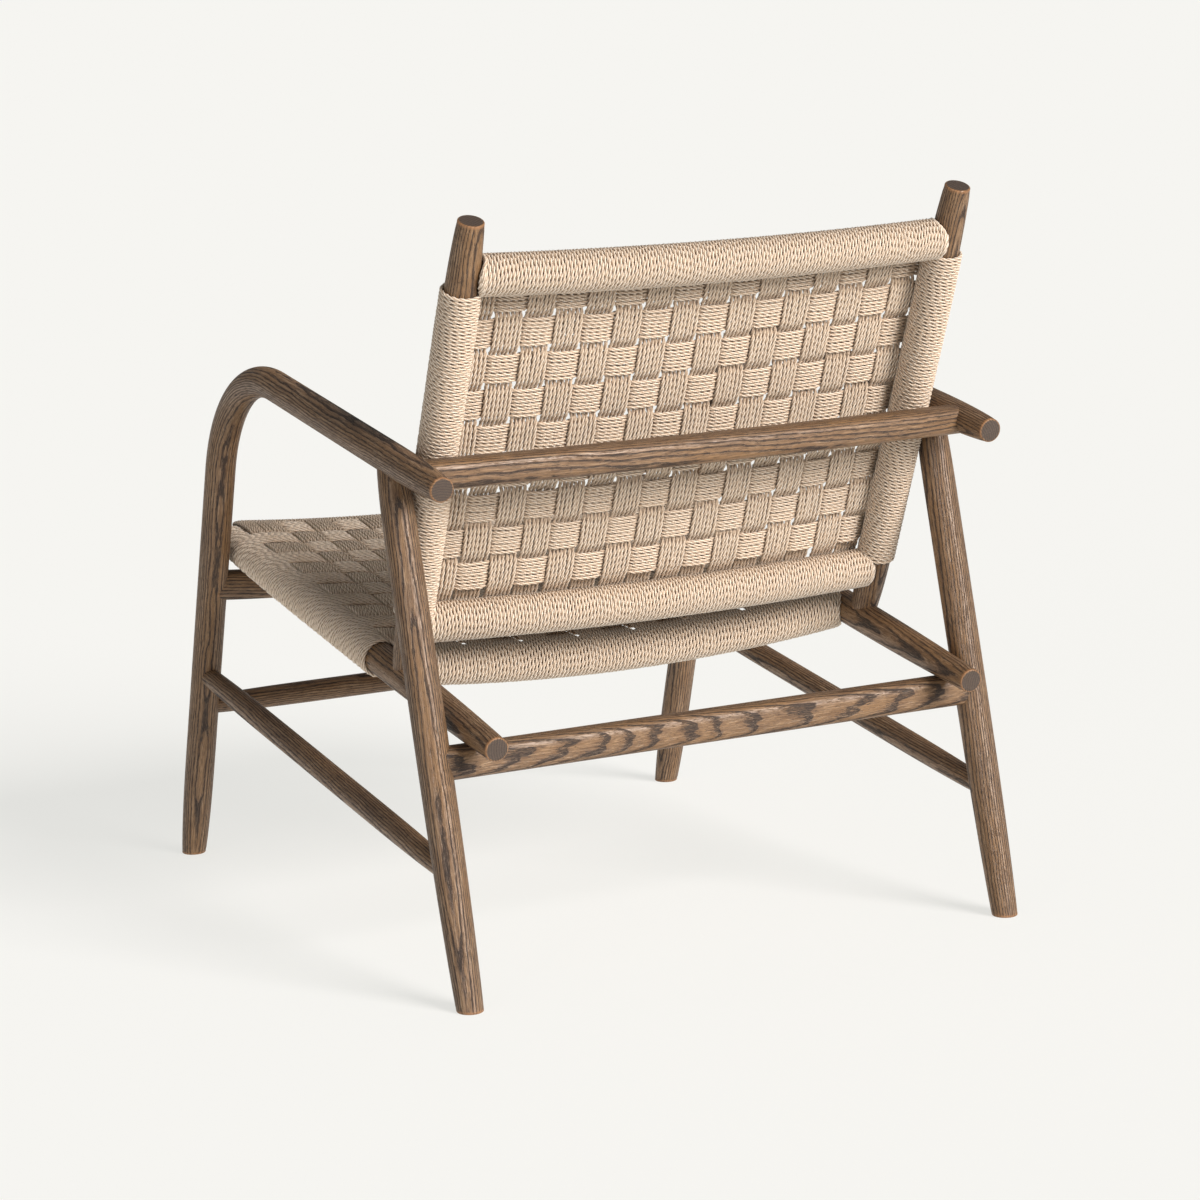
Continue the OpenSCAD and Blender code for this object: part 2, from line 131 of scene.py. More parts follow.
def on_seat(points):
    return leaned(points, SEAT_FALL, 0.0, SEAT_Z)


def on_back(points):
    return leaned(points, BACK_LEAN, -POST_RUN, POST_Z)


def upright(points):
    return leaned(points, 0.0, 0.0, 0.0)


def unit(v):
    return v / np.linalg.norm(v, axis=-1, keepdims=True)


def tangents(points):
    return unit(np.gradient(points, axis=0))


# ------------------------------------------------------------------ meshes
def make_piece(name, verts_mm, faces, material, vectors=(), floats=()):
    """One object from vertex rows in mm and a list of (face array of one size)."""
    mesh = bpy.data.meshes.new(name)
    verts = np.asarray(verts_mm, dtype=np.float32) * MM
    mesh.vertices.add(len(verts))
    mesh.vertices.foreach_set("co", verts.ravel())
    loops = np.concatenate([f.ravel() for f in faces]).astype(np.int32)
    sizes = np.concatenate([np.full(len(f), f.shape[1]) for f in faces])
    starts = np.concatenate([[0], np.cumsum(sizes)[:-1]]).astype(np.int32)
    mesh.loops.add(len(loops))
    mesh.loops.foreach_set("vertex_index", loops)
    mesh.polygons.add(len(starts))
    mesh.polygons.foreach_set("loop_start", starts)
    mesh.update(calc_edges=True)
    mesh.validate()
    mesh.polygons.foreach_set("use_smooth", np.ones(len(mesh.polygons), dtype=bool))
    for attr, values in vectors:
        layer = mesh.attributes.new(attr, "FLOAT_VECTOR", "POINT")
        layer.data.foreach_set("vector", np.asarray(values, dtype=np.float32).ravel())
    for attr, values in floats:
        layer = mesh.attributes.new(attr, "FLOAT", "POINT")
        layer.data.foreach_set("value", np.asarray(values, dtype=np.float32).ravel())
    mesh.materials.append(material)
    piece = bpy.data.objects.new(name, mesh)
    bpy.context.scene.collection.objects.link(piece)
    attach(piece, "root")
    return piece


def ease(u):
    return 1 - (1 - np.clip(u, 0, 1)) ** 3


def bar_radius(s, length, d0, dm, d1, t0, t1):
    """Radius of a bar that swells from each end to its full thickness, at s along it.

    d0, dm, d1 are its diameters at start, middle and end; t0, t1 the lengths of its tapers.
    """
    near = (d0 + (dm - d0) * ease(s / t0)) / 2
    far = (d1 + (dm - d1) * ease((length - s) / t1)) / 2
    return np.where(s < t0, near, np.where(s > length - t1, far, dm / 2))


def tube_quads(index):
    """Quads between the rings of a tube; a row of index is one ring."""
    a, b = index[:-1], index[1:]
    return np.stack([a, np.roll(a, -1, 1), np.roll(b, -1, 1), b], -1).reshape(-1, 4)


# the rim's rounding, how far an end's own rings reach, and the wear value of an end face
RIM_R, RIM_STEPS, CAP_LEN, END_GRAIN = 1.5, 4, 5.0, -1.0
BAR_SIDES = 48
AROUND = np.arange(BAR_SIDES) * 2 * math.pi / BAR_SIDES
ROUND = np.stack([np.cos(AROUND), np.sin(AROUND)], -1)
BOXY = np.sign(ROUND) * np.abs(ROUND) ** (2 / SECTION_POWER)


def sweep_bar(name, centre, side, half_u, half_v, section, to_chair, node, floor_end=False,
              pith=(38.0, 17.0), drift=0.012, facing=None):
    """A wooden bar swept along centre (rows of mm), closed by rounded ends.

    half_u and half_v are the section's half sizes along side and across it. pith is where
    the tree's middle lies, drift how fast the bar leaves it and facing its turn in degrees.
    A floor_end is cut level with the floor.
    """
    way = tangents(centre)
    across = unit(np.cross(way, side))
    along = np.concatenate([[0], np.cumsum(np.linalg.norm(np.diff(centre, axis=0), axis=1))])
    rings, grain, wear = [], [], []

    def ring(p, t, u, v, hu, hv, s, worn, level=None):
        pts = p + section[:, :1] * hu * u + section[:, 1:] * hv * v
        if level is not None:
            pts = pts + ((level - pts[:, 2:]) / t[2]) * t
        rings.append(pts)
        grain.append(np.stack([section[:, 0] * hu, section[:, 1] * hv,
                               np.full(len(section), s)], -1))
        wear.append(np.full(len(section), worn))

    def cap(end, first):
        """Rings of an end: flat face, rounded rim and a little of the bar behind it."""
        p, t = centre[end], way[end]
        u, v, hu, hv = side[end], across[end], half_u[end], half_v[end]
        sign = 1.0 if first else -1.0
        rows = [(hu * share, hv * share, 0.0, END_GRAIN) for share in (0.45, 0.80)]
        for k in range(RIM_STEPS + 1):
            a = math.radians(90 * k / RIM_STEPS)
            cut, deep = RIM_R * (1 - math.sin(a)), RIM_R * (1 - math.cos(a))
            rows.append((hu - cut, hv - cut, deep, 1.0 if k else 0.4 * END_GRAIN))
        rows.append((hu, hv, RIM_R + 2.0, 0.2))
        if not first:
            rows = rows[::-1]
        for hu2, hv2, deep, worn in rows:
            level = deep if (floor_end and first) else None
            q = p + sign * t * deep
            ring(q, t, u, v, hu2, hv2, along[end] + sign * deep, worn, level)

    cap(0, True)
    for i in range(len(centre)):
        if CAP_LEN < along[i] < along[-1] - CAP_LEN:
            ring(centre[i], way[i], side[i], across[i], half_u[i], half_v[i], along[i], 0.0)
    cap(len(centre) - 1, False)
    count, size = len(rings), len(section)
    verts = np.concatenate(rings + [centre[:1], centre[-1:]])
    index = np.arange(count * size).reshape(count, size)
    first_mid, last_mid = count * size, count * size + 1
    fan0 = np.stack([np.roll(index[0], -1), index[0], np.full(size, first_mid)], -1)
    fan1 = np.stack([index[-1], np.roll(index[-1], -1), np.full(size, last_mid)], -1)
    grain = np.concatenate(grain + [np.array([[0, 0, 0.0], [0, 0, along[-1]]])])
    wear = np.concatenate(wear + [np.full(2, END_GRAIN)])
    # each bar is cut from its own place in the tree
    turn = rng.uniform(0, 2 * math.pi)
    turn = turn if facing is None else math.radians(facing)
    ca, sa = math.cos(turn), math.sin(turn)
    ga = grain[:, 0] * ca - grain[:, 1] * sa + pith[0]
    gb = grain[:, 0] * sa + grain[:, 1] * ca + pith[1] + drift * grain[:, 2]
    gs = grain[:, 2] + rng.uniform(0, 4000)
    grain = np.stack([ga, gb, gs], -1) * MM
    piece = make_piece(name, to_chair(verts), [tube_quads(index), fan0, fan1], WOOD,
                       vectors=[("grain", grain)], floats=[("wear", wear)])
    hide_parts(node)
    return piece


# ------------------------------------------------------------------ materials
def new_material(name):
    mat = bpy.data.materials.new(name)
    mat.use_nodes = True
    mat.node_tree.nodes.clear()
    return mat


def add(tree, kind, inputs=None, **settings):
    node = tree.nodes.new(kind)
    for key, value in settings.items():
        setattr(node, key, value)
    for key, value in (inputs or {}).items():
        if isinstance(value, bpy.types.NodeSocket):
            tree.links.new(value, node.inputs[key])
        else:
            node.inputs[key].default_value = value
    return node


def math_node(tree, operation, a, b=None, clamp=False):
    inputs = {0: a} if b is None else {0: a, 1: b}
    return add(tree, "ShaderNodeMath", inputs, operation=operation, use_clamp=clamp).outputs[0]


def remap(tree, value, low, high, out_low=0.0, out_high=1.0, smooth=True):
    kind = "SMOOTHSTEP" if smooth else "LINEAR"
    return add(tree, "ShaderNodeMapRange", {"Value": value, "From Min": low, "From Max": high,
               "To Min": out_low, "To Max": out_high}, interpolation_type=kind).outputs[0]


def scaled(tree, vector, factors):
    return add(tree, "ShaderNodeVectorMath", {0: vector, 1: factors},
               operation="MULTIPLY").outputs[0]


def noise(tree, vector, scale=1.0, detail=2.0, rough=0.5):
    return add(tree, "ShaderNodeTexNoise", {"Vector": vector, "Scale": scale, "Detail": detail,
               "Roughness": rough})


def blend_colour(tree, factor, a, b):
    node = tree.nodes.new("ShaderNodeMix")
    node.data_type = "RGBA"
    for socket, value in ((node.inputs[0], factor), (node.inputs[6], a), (node.inputs[7], b)):
        if isinstance(value, bpy.types.NodeSocket):
            tree.links.new(value, socket)
        else:
            socket.default_value = value
    return node.outputs[2]


def ramp(tree, value, stops):
    node = tree.nodes.new("ShaderNodeValToRGB")
    tree.links.new(value, node.inputs[0])
    elements = node.color_ramp.elements
    elements[0].position, elements[0].color = stops[0][0], (*stops[0][1], 1)
    elements[1].position, elements[1].color = stops[-1][0], (*stops[-1][1], 1)
    for position, colour in stops[1:-1]:
        elements.new(position).color = (*colour, 1)
    return node.outputs[0]


RING_WIDTH = 2.7
PORE_BLACK, END_BROWN = (0.018, 0.0115, 0.0090, 1), (0.052, 0.038, 0.031, 1)
WARM_HEART, WORN_RIM = (0.245, 0.125, 0.042, 1), (0.34, 0.165, 0.068, 1)


def wood_material(name, by_attribute):
    """Open-pored brown wood: growth rings about an offset pith, long dark pores, worn rims.

    by_attribute is for the swept bars, which carry their place in the tree; the hidden
    dowels take theirs from where they lie. Scales below are in 1/mm, along the grain last.
    """
    mat = new_material(name)
    tree = mat.node_tree
    if by_attribute:
        raw = add(tree, "ShaderNodeAttribute", attribute_name="grain").outputs["Vector"]
        worn = add(tree, "ShaderNodeAttribute", attribute_name="wear").outputs["Fac"]
    else:
        xyz = add(tree, "ShaderNodeSeparateXYZ",
                  {0: add(tree, "ShaderNodeTexCoord").outputs["Object"]}).outputs
        raw = add(tree, "ShaderNodeCombineXYZ", {0: xyz[1], 1: xyz[2], 2: xyz[0]}).outputs[0]
        worn = None
    mm = scaled(tree, raw, (1000.0, 1000.0, 1000.0))
    sway = noise(tree, scaled(tree, mm, (0.012, 0.012, 0.0045)), detail=2.0).outputs["Color"]
    sway = add(tree, "ShaderNodeVectorMath", {0: sway, 1: (0.5, 0.5, 0.5)},
               operation="SUBTRACT").outputs[0]
    bent = add(tree, "ShaderNodeVectorMath", {0: mm, 1: scaled(tree, sway, (9.0, 9.0, 0.0))},
               operation="ADD").outputs[0]
    jag = noise(tree, scaled(tree, mm, (0.11, 0.11, 0.035)), detail=2.0).outputs["Color"]
    jag = add(tree, "ShaderNodeVectorMath", {0: jag, 1: (0.5, 0.5, 0.5)},
              operation="SUBTRACT").outputs[0]
    bent = add(tree, "ShaderNodeVectorMath", {0: bent, 1: scaled(tree, jag, (2.2, 2.2, 0.0))},
               operation="ADD").outputs[0]
    flat = scaled(tree, bent, (1.0, 1.0, 0.0))
    distance = add(tree, "ShaderNodeVectorMath", {0: flat}, operation="LENGTH").outputs["Value"]
    ring = math_node(tree, "FRACT", math_node(tree, "DIVIDE", distance, RING_WIDTH))
    early = math_node(tree, "MULTIPLY", remap(tree, ring, 0.0, 0.05),
                      remap(tree, ring, 0.50, 0.16))
    coarse = noise(tree, scaled(tree, bent, (0.85, 0.85, 0.020)), detail=4.0, rough=0.68)
    fine = noise(tree, scaled(tree, bent, (2.6, 2.6, 0.085)), detail=3.0, rough=0.65)
    tone = noise(tree, scaled(tree, bent, (0.05, 0.05, 0.006)), detail=2.0)
    pore_seed = math_node(tree, "ADD", fine.outputs[0],
                          math_node(tree, "MULTIPLY", early, 0.16))
    pores = remap(tree, pore_seed, 0.545, 0.63)
    years = ramp(tree, ring, [
        (0.00, (0.048, 0.024, 0.013)), (0.16, (0.070, 0.035, 0.018)),
        (0.40, (0.180, 0.096, 0.044)), (0.74, (0.290, 0.175, 0.088)),
        (0.99, (0.200, 0.112, 0.055))])
    streaks = ramp(tree, coarse.outputs[0], [
        (0.32, (0.030, 0.016, 0.010)), (0.44, (0.100, 0.052, 0.026)),
        (0.54, (0.200, 0.118, 0.062)), (0.66, (0.400, 0.285, 0.185))])
    body = blend_colour(tree, 0.62, years, streaks)
    body = blend_colour(tree, remap(tree, tone.outputs[0], 0.35, 0.7, 0.0, 0.45), body,
                        WARM_HEART)
    colour = blend_colour(tree, math_node(tree, "MULTIPLY", pores, 0.88), body,
                          PORE_BLACK)
    if worn is not None:
        patch = remap(tree, noise(tree, scaled(tree, mm, (0.25, 0.25, 0.25)),
                                  detail=3.0).outputs[0], 0.3, 0.6, 0.35, 1.0)
        edge = math_node(tree, "MULTIPLY", remap(tree, worn, 0.0, 1.0), patch)
        colour = blend_colour(tree, math_node(tree, "MULTIPLY", edge, 0.72), colour,
                              WORN_RIM)
        end_face = remap(tree, worn, -0.2, -0.8, 0.0, 0.82)
        colour = blend_colour(tree, end_face, colour, END_BROWN)
    height = math_node(tree, "SUBTRACT",
                       math_node(tree, "MULTIPLY", coarse.outputs[0], 0.5), pores)
    bump = add(tree, "ShaderNodeBump", {"Height": height, "Strength": 0.45, "Distance": 0.0005})
    rough = remap(tree, coarse.outputs[0], 0.3, 0.7, 0.48, 0.34)
    rough = math_node(tree, "ADD", rough, math_node(tree, "MULTIPLY", pores, 0.3), clamp=True)
    shader = add(tree, "ShaderNodeBsdfPrincipled", {"Base Color": colour, "Roughness": rough,
                 "Normal": bump.outputs[0], "Specular IOR Level": 0.5})
    out = add(tree, "ShaderNodeOutputMaterial")
    tree.links.new(shader.outputs[0], out.inputs[0])
    return mat


def cord_material(name):
    """Three-ply twisted paper cord: pale crests, grooves darkened by painted shade, each length its
    own tone.
    """
    mat = new_material(name)
    tree = mat.node_tree
    marks = add(tree, "ShaderNodeAttribute", attribute_name="cord").outputs["Vector"]
    parts = add(tree, "ShaderNodeSeparateXYZ", {0: marks}).outputs
    painted_ply_shade, along, own = parts[0], parts[1], parts[2]
    where = add(tree, "ShaderNodeCombineXYZ", {
        0: math_node(tree, "MULTIPLY", along, 90.0), 1: math_node(tree, "MULTIPLY", own, 31.0),
        2: 0.0}).outputs[0]
    slow = noise(tree, where, detail=3.0, rough=0.6).outputs[0]
    quick = noise(tree, scaled(tree, where, (9.0, 7.0, 1.0)), detail=2.0).outputs[0]
    spot = add(tree, "ShaderNodeTexCoord").outputs["Object"]
    fibre = noise(tree, spot, scale=1500.0, detail=2.0, rough=0.7).outputs[0]
    lift = math_node(tree, "ADD", painted_ply_shade, math_node(tree, "MULTIPLY",
                     math_node(tree, "SUBTRACT", quick, 0.5), 0.55))
    # painted shade: this ramp paints grooves and diving cords dark brown and leaves the crests pale
    pale = ramp(tree, lift, [
        (0.02, (0.170, 0.105, 0.062)), (0.26, (0.46, 0.330, 0.225)),
        (0.55, (0.70, 0.565, 0.435)), (0.95, (0.90, 0.800, 0.680))])
    warm = blend_colour(tree, remap(tree, slow, 0.38, 0.66, 0.0, 0.40), pale,
                        (0.62, 0.46, 0.315, 1))
    tinted = blend_colour(tree, remap(tree, fibre, 0.35, 0.75, 0.0, 0.30), warm,
                          (0.78, 0.68, 0.56, 1))
    height = math_node(tree, "ADD", fibre, math_node(tree, "MULTIPLY", quick, 0.6))
    bump = add(tree, "ShaderNodeBump", {"Height": height, "Strength": 0.5, "Distance": 0.0004})
    shader = add(tree, "ShaderNodeBsdfPrincipled", {"Base Color": tinted,
                 "Roughness": remap(tree, fibre, 0.3, 0.7, 0.62, 0.82),
                 "Normal": bump.outputs[0], "Specular IOR Level": 0.35, "Sheen Weight": 0.15,
                 "Sheen Roughness": 0.5})
    out = add(tree, "ShaderNodeOutputMaterial")
    tree.links.new(shader.outputs[0], out.inputs[0])
    return mat


def steel_material(name):
    """Brushed bolt steel with turning marks and faint stains."""
    mat = new_material(name)
    tree = mat.node_tree
    spot = add(tree, "ShaderNodeTexCoord").outputs["Object"]
    marks = noise(tree, scaled(tree, spot, (900.0, 900.0, 6000.0)), detail=3.0).outputs[0]
    stain = noise(tree, spot, scale=180.0, detail=3.0).outputs[0]
    colour = ramp(tree, stain, [(0.35, (0.20, 0.19, 0.175)), (0.65, (0.40, 0.395, 0.38))])
    bump = add(tree, "ShaderNodeBump", {"Height": marks, "Strength": 0.2, "Distance": 0.0002})
    shader = add(tree, "ShaderNodeBsdfPrincipled", {"Base Color": colour, "Metallic": 1.0,
                 "Roughness": remap(tree, marks, 0.3, 0.7, 0.28, 0.5),
                 "Normal": bump.outputs[0]})
    out = add(tree, "ShaderNodeOutputMaterial")
    tree.links.new(shader.outputs[0], out.inputs[0])
    return mat


WOOD = wood_material("brown_oiled_wood", True)
WOOD_INNER = wood_material("brown_oiled_wood_inner", False)
CORD = cord_material("paper_cord")
STEEL = steel_material("bolt_steel")


# ------------------------------------------------------------------ wooden bars
def bow_depth(x, depth, half):
    """Depth at x of an arc of that depth at its middle, zero at x = half."""
    if not depth:
        return 0 * x
    radius = (half * half + depth * depth) / (2 * depth)
    return np.sqrt(radius * radius - x * x) - (radius - depth)


BAR_STEP = 9.0


def straight_bar(name, node, start, end, d0, dm, d1, t0, t1, to_chair=upright, floor_end=False,
                 **grain):
    start, end = np.array(start, float), np.array(end, float)
    length = np.linalg.norm(end - start)
    s = np.linspace(0, length, max(12, int(length / BAR_STEP)))
    centre = start + (s / length)[:, None] * (end - start)
    r = bar_radius(s, length, d0, dm, d1, t0, t1)
    way = unit(end - start)
    pick = np.array([1.0, 0, 0]) if abs(way[0]) < 0.9 else np.array([0, 0, 1.0])
    side = np.tile(unit(pick - way * pick.dot(way)), (len(s), 1))
    return sweep_bar(name, centre, side, r, r, ROUND, to_chair, node, floor_end, **grain)


def bowed_bar(name, node, middle, bow, half_bow, half_other, **grain):
    """A rounded-square bar across the chair, bowed by the vector bow at its middle."""
    x = np.linspace(-SIDE_X, SIDE_X, 71)
    depth = np.linalg.norm(bow)
    centre = np.array(middle, float) + np.stack([x, 0 * x, 0 * x], -1)
    direction = unit(np.array(bow, float)) if depth else np.array([0, 0, -1.0])
    centre = centre + bow_depth(x, depth, SIDE_X)[:, None] * direction
    side = unit(direction - tangents(centre) * (tangents(centre) @ direction)[:, None])
    full = np.ones(len(x))
    return sweep_bar(name, centre, side, full * half_bow, full * half_other, BOXY, upright, node,
                     **grain)


def arm_path():
    leg = np.linspace(0, LEG_STRAIGHT, 56)
    y, z = FRONT_Y + leg * sind(FRONT_LEAN), leg * cosd(FRONT_LEAN)
    angle = np.radians(90 - FRONT_LEAN - np.linspace(0, TURN, 40)[1:-1])
    y = np.concatenate([y, BEND_Y - BEND_R * np.sin(angle)])
    z = np.concatenate([z, BEND_Z + BEND_R * np.cos(angle)])
    arm = np.linspace(0, ARM_STRAIGHT, 48)
    y = np.concatenate([y, BEND_Y + BEND_R * sind(ARM_FALL) + arm * cosd(ARM_FALL)])
    z = np.concatenate([z, BEND_Z + BEND_R * cosd(ARM_FALL) - arm * sind(ARM_FALL)])
    return y, z


LOW_REAR_Y = -LOW_REAR_Z * tand(REAR_LEAN)
LOW_FRONT_Y = FRONT_Y + LOW_FRONT_Z * tand(FRONT_LEAN)
FRONT_LOW_Y = FRONT_Y + FRONT_LOW_Z * tand(FRONT_LEAN)
FRONT_BAR_Y = FRONT_Y + FRONT_BAR_Z * tand(FRONT_LEAN)
REAR_BAR_Y = -REAR_BAR_Z * tand(REAR_LEAN)

for label, hand in (("left", 1), ("right", -1)):
    y, z = arm_path()
    centre = np.stack([np.full(len(y), hand * SIDE_X), y, z], -1)
    s = np.concatenate([[0], np.cumsum(np.linalg.norm(np.diff(centre, axis=0), axis=1))])
    r = bar_radius(s, s[-1], FOOT_D, ARM_D, ARM_END_D, FOOT_TAPER, ARM_TAPER)
    side = np.tile([1.0, 0, 0], (len(y), 1))
    sweep_bar("bent_arm_" + label, centre, side, r, r, ROUND, upright, "arm_leg_" + label,
              floor_end=True, pith=(34.0, 14.0), drift=0.010)
    lean = (0, -sind(REAR_LEAN), cosd(REAR_LEAN))
    straight_bar("rear_leg_bar_" + label, "rear_leg_" + label, (hand * SIDE_X, 0, 0),
                 (hand * SIDE_X, REAR_LEG_LEN * lean[1], REAR_LEG_LEN * lean[2]),
                 FOOT_D, LEG_D, REAR_TOP_D, REAR_FOOT_TAPER, REAR_TOP_TAPER, floor_end=True,
                 pith=(40.0, 9.0), drift=0.03)
    low_len = math.hypot(LOW_FRONT_Y - LOW_REAR_Y, LOW_FRONT_Z - LOW_REAR_Z)
    straight_bar("low_bar_" + label, "side_stretcher_" + label,
                 (hand * SIDE_X, LOW_REAR_Y, LOW_REAR_Z), (hand * SIDE_X, LOW_FRONT_Y, LOW_FRONT_Z),
                 LOW_END_D, LOW_D, LOW_END_D, low_len / 3, low_len / 3, pith=(22.0, 31.0),
                 drift=0.02)
    straight_bar("seat_bar_" + label, "seat_rail_" + label, (hand * SEAT_X, RAIL_SPARE, 0),
                 (hand * SEAT_X, -SEAT_RUN, 0), RAIL_END_D, RAIL_D, RAIL_END_D, RAIL_TAPER,
                 RAIL_TAPER, to_chair=on_seat, pith=(30.0, 25.0), drift=0.02)
    straight_bar("post_bar_" + label, "back_post_" + label, (hand * SEAT_X, 0, -POST_LEN),
                 (hand * SEAT_X, 0, 0), POST_BOTTOM_D, POST_MID_D, POST_TOP_D,
                 POST_BOTTOM_TAPER, POST_TOP_TAPER, to_chair=on_back, pith=(36.0, 12.0),
                 drift=0.02)
straight_bar("front_low_bar", "front_stretcher", (-SIDE_X, FRONT_LOW_Y, FRONT_LOW_Z),
             (SIDE_X, FRONT_LOW_Y, FRONT_LOW_Z), LOW_END_D, LOW_D, LOW_END_D, SIDE_X / 2,
             SIDE_X / 2, pith=(26.0, 20.0), drift=0.02)
bowed_bar("front_bar", "front_cross_rail", (0, FRONT_BAR_Y, FRONT_BAR_Z), (0, 0, -FRONT_BAR_DIP),
          FRONT_BAR_H / 2, FRONT_BAR_W / 2, pith=(33.0, 16.0), drift=0.03)
bowed_bar("rear_bar", "rear_stretcher", (0, REAR_BAR_Y, REAR_BAR_Z), (0, 0, 0),
          REAR_BAR_H / 2, REAR_BAR_W / 2, pith=(0.0, 34.0), drift=0.06, facing=0.0)
bowed_bar("arm_bar", "back_cross_rail", (0, ARM_BAR_Y, ARM_BAR_Z), (0, ARM_BAR_BOW, 0),
          ARM_BAR_W / 2, ARM_BAR_H / 2, pith=(28.0, 11.0), drift=0.02)


ROLL_RAIL_R, ROLL_RAIL_TAPER_TO, ROLL_RAIL_TAPER = 17.1, 262.0, 22.0


def wrapped_bar(name, node, run, bow, direction, to_chair):
    """A bowed round rail under its cord turns, thinner where it enters the side bars."""
    x = np.linspace(-SEAT_X, SEAT_X, 61)
    centre = np.stack([x, 0 * x, 0 * x], -1) + np.array(run, float)
    centre = centre + bow_depth(x, bow, SEAT_X + 0.001)[:, None] * np.array(direction, float)
    in_end = np.clip((ROLL_RAIL_TAPER_TO - np.abs(x)) / ROLL_RAIL_TAPER, 0, 1)
    r = ROLL_RAIL_END_D / 2 + (ROLL_RAIL_R - ROLL_RAIL_END_D / 2) * in_end
    side = np.tile(np.array(direction, float), (len(x), 1))
    side = unit(side - tangents(centre) * (tangents(centre) * side).sum(1)[:, None])
    return sweep_bar(name, centre, side, r, r, ROUND, to_chair, node)


wrapped_bar("seat_front_bar", "seat_front_rail", (0, -FRONT_ROLL_RUN, 0), FRONT_DIP, (0, 0, -1),
            on_seat)
wrapped_bar("seat_rear_bar", "seat_rear_rail", (0, -REAR_ROLL_RUN, 0), REAR_DIP, (0, 0, -1),
            on_seat)
wrapped_bar("back_top_bar", "back_top_rail", (0, 0, -TOP_RAIL_DOWN), BACK_BOW, (0, 1, 0), on_back)
wrapped_bar("back_bottom_bar", "back_bottom_rail", (0, 0, -BOTTOM_RAIL_DOWN), BACK_BOW, (0, 1, 0),
            on_back)
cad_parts["back_dowels"].data.materials.clear()
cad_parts["back_dowels"].data.materials.append(WOOD_INNER)
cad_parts["seat_bolts"].data.materials.clear()
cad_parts["seat_bolts"].data.materials.append(STEEL)


# ------------------------------------------------------------------ cord
def resampled(points, step):
    gaps = np.linalg.norm(np.diff(points, axis=0), axis=1)
    along = np.concatenate([[0], np.cumsum(gaps)])
    count = max(6, int(round(along[-1] / step)))
    at = np.linspace(0, along[-1], count + 1)
    return np.stack([np.interp(at, along, points[:, k]) for k in range(3)], -1), at


def cord_tube(points, normal, lift=0.0):
    """Vertices, faces and attribute rows of one twisted cord along points (mm).

    lift, for a cord of a woven sheet, is its rise on either side: the cord is painted darker,
    as painted shade, where it passes through the sheet.
    """
    points, along = resampled(points, RING_STEP)
    way = tangents(points)
    normal = unit(normal - way * (way @ normal)[:, None])
    other = np.cross(way, normal)
    sides = 2 * PLIES
    corners = np.arange(sides)
    phase = rng.uniform(0, 2 * math.pi)
    angle = phase + 2 * math.pi * along[:, None] / CORD_LAY + corners * math.pi / PLIES
    radius = np.where(corners % 2 == 0, CREST_R, GROOVE_R)
    outward = (np.cos(angle)[..., None] * normal[:, None] +
               np.sin(angle)[..., None] * other[:, None])
    verts = points[:, None] + radius[None, :, None] * outward
    count = len(points)
    index = np.arange(count * sides).reshape(count, sides)
    caps = np.stack([index[0][::-1], index[-1]])
    # painted shade: a cord is darkened where it dives through its sheet between crossing bands
    painted_shade_factor = np.ones(count)
    if lift:
        span = min(count // 2 * 2 - 1, 2 * round(WEAVE_PERIOD / RING_STEP / 2) + 1)
        mean = np.stack([np.convolve(np.pad(points[:, k], span // 2, mode="edge"),
                                     np.ones(span) / span, mode="valid") for k in range(3)], -1)
        rise = np.linalg.norm(points - mean, axis=1) / lift
        painted_shade_factor = PAINTED_SHADE_LEAST + (1 - PAINTED_SHADE_LEAST) * np.clip(rise / PAINTED_SHADE_ENDS_AT, 0, 1)
    # painted shade: groove corners get a low value, which the cord's colour ramp turns dark
    painted_ply_shade = (corners % 2 == 0) * painted_shade_factor[:, None]
    own = rng.uniform(0, 1)
    start = rng.uniform(0, 20)
    rows = np.stack([painted_ply_shade, np.broadcast_to(along[:, None] * MM + start, (count, sides)),
                     np.full((count, sides), own)], -1)
    return verts.reshape(-1, 3), tube_quads(index), caps, rows.reshape(-1, 3)


class Bundle:
    """Cords that make one piece."""

    def __init__(self):
        self.verts, self.quads, self.caps, self.rows, self.total = [], [], [], [], 0

    def lay(self, points, normal, lift=0.0):
        verts, quads, caps, rows = cord_tube(points, np.array(normal, float), lift)
        self.verts.append(verts)
        self.quads.append(quads + self.total)
        self.caps.append(caps + self.total)
        self.rows.append(rows)
        self.total += len(verts)

    def piece(self, name, to_chair, *nodes):
        made = make_piece(name, to_chair(np.concatenate(self.verts)),
                          [np.concatenate(self.quads), np.concatenate(self.caps)], CORD,
                          vectors=[("cord", np.concatenate(self.rows))])
        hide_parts(*nodes)
        return made


def depart(d, h, r):
    """Angle from straight up at which a line to the point (d, h) leaves a circle of radius r."""
    return math.degrees(math.atan2(d, h) - math.acos(min(1.0, r / math.hypot(d, h))))


def strung(c1, h1, r1, c2, h2, r2, first, last, middle, lift):
    """2-D path (along, up) of one cord: round bar 1, through the weave, round bar 2.

    first and last are where the weave begins and ends, middle(u) its mid height there,
    lift(u) the cord's rise above or below it.
    """
    u = np.arange(first, last, PATH_STEP)
    weave = np.stack([u, middle(u) + lift(u)], -1)
    a1 = depart(u[0] - c1, weave[0, 1] - h1, r1)
    a2 = depart(c2 - u[-1], weave[-1, 1] - h2, r2)
    arc1 = np.radians(np.linspace(a1 - SWEEP, a1, ARC_POINTS))
    arc2 = np.radians(np.linspace(a2, a2 - SWEEP, ARC_POINTS))
    near = np.stack([c1 + r1 * np.sin(arc1), h1 + r1 * np.cos(arc1)], -1)
    far = np.stack([c2 - r2 * np.sin(arc2), h2 + r2 * np.cos(arc2)], -1)
    return np.concatenate([near, weave, far])


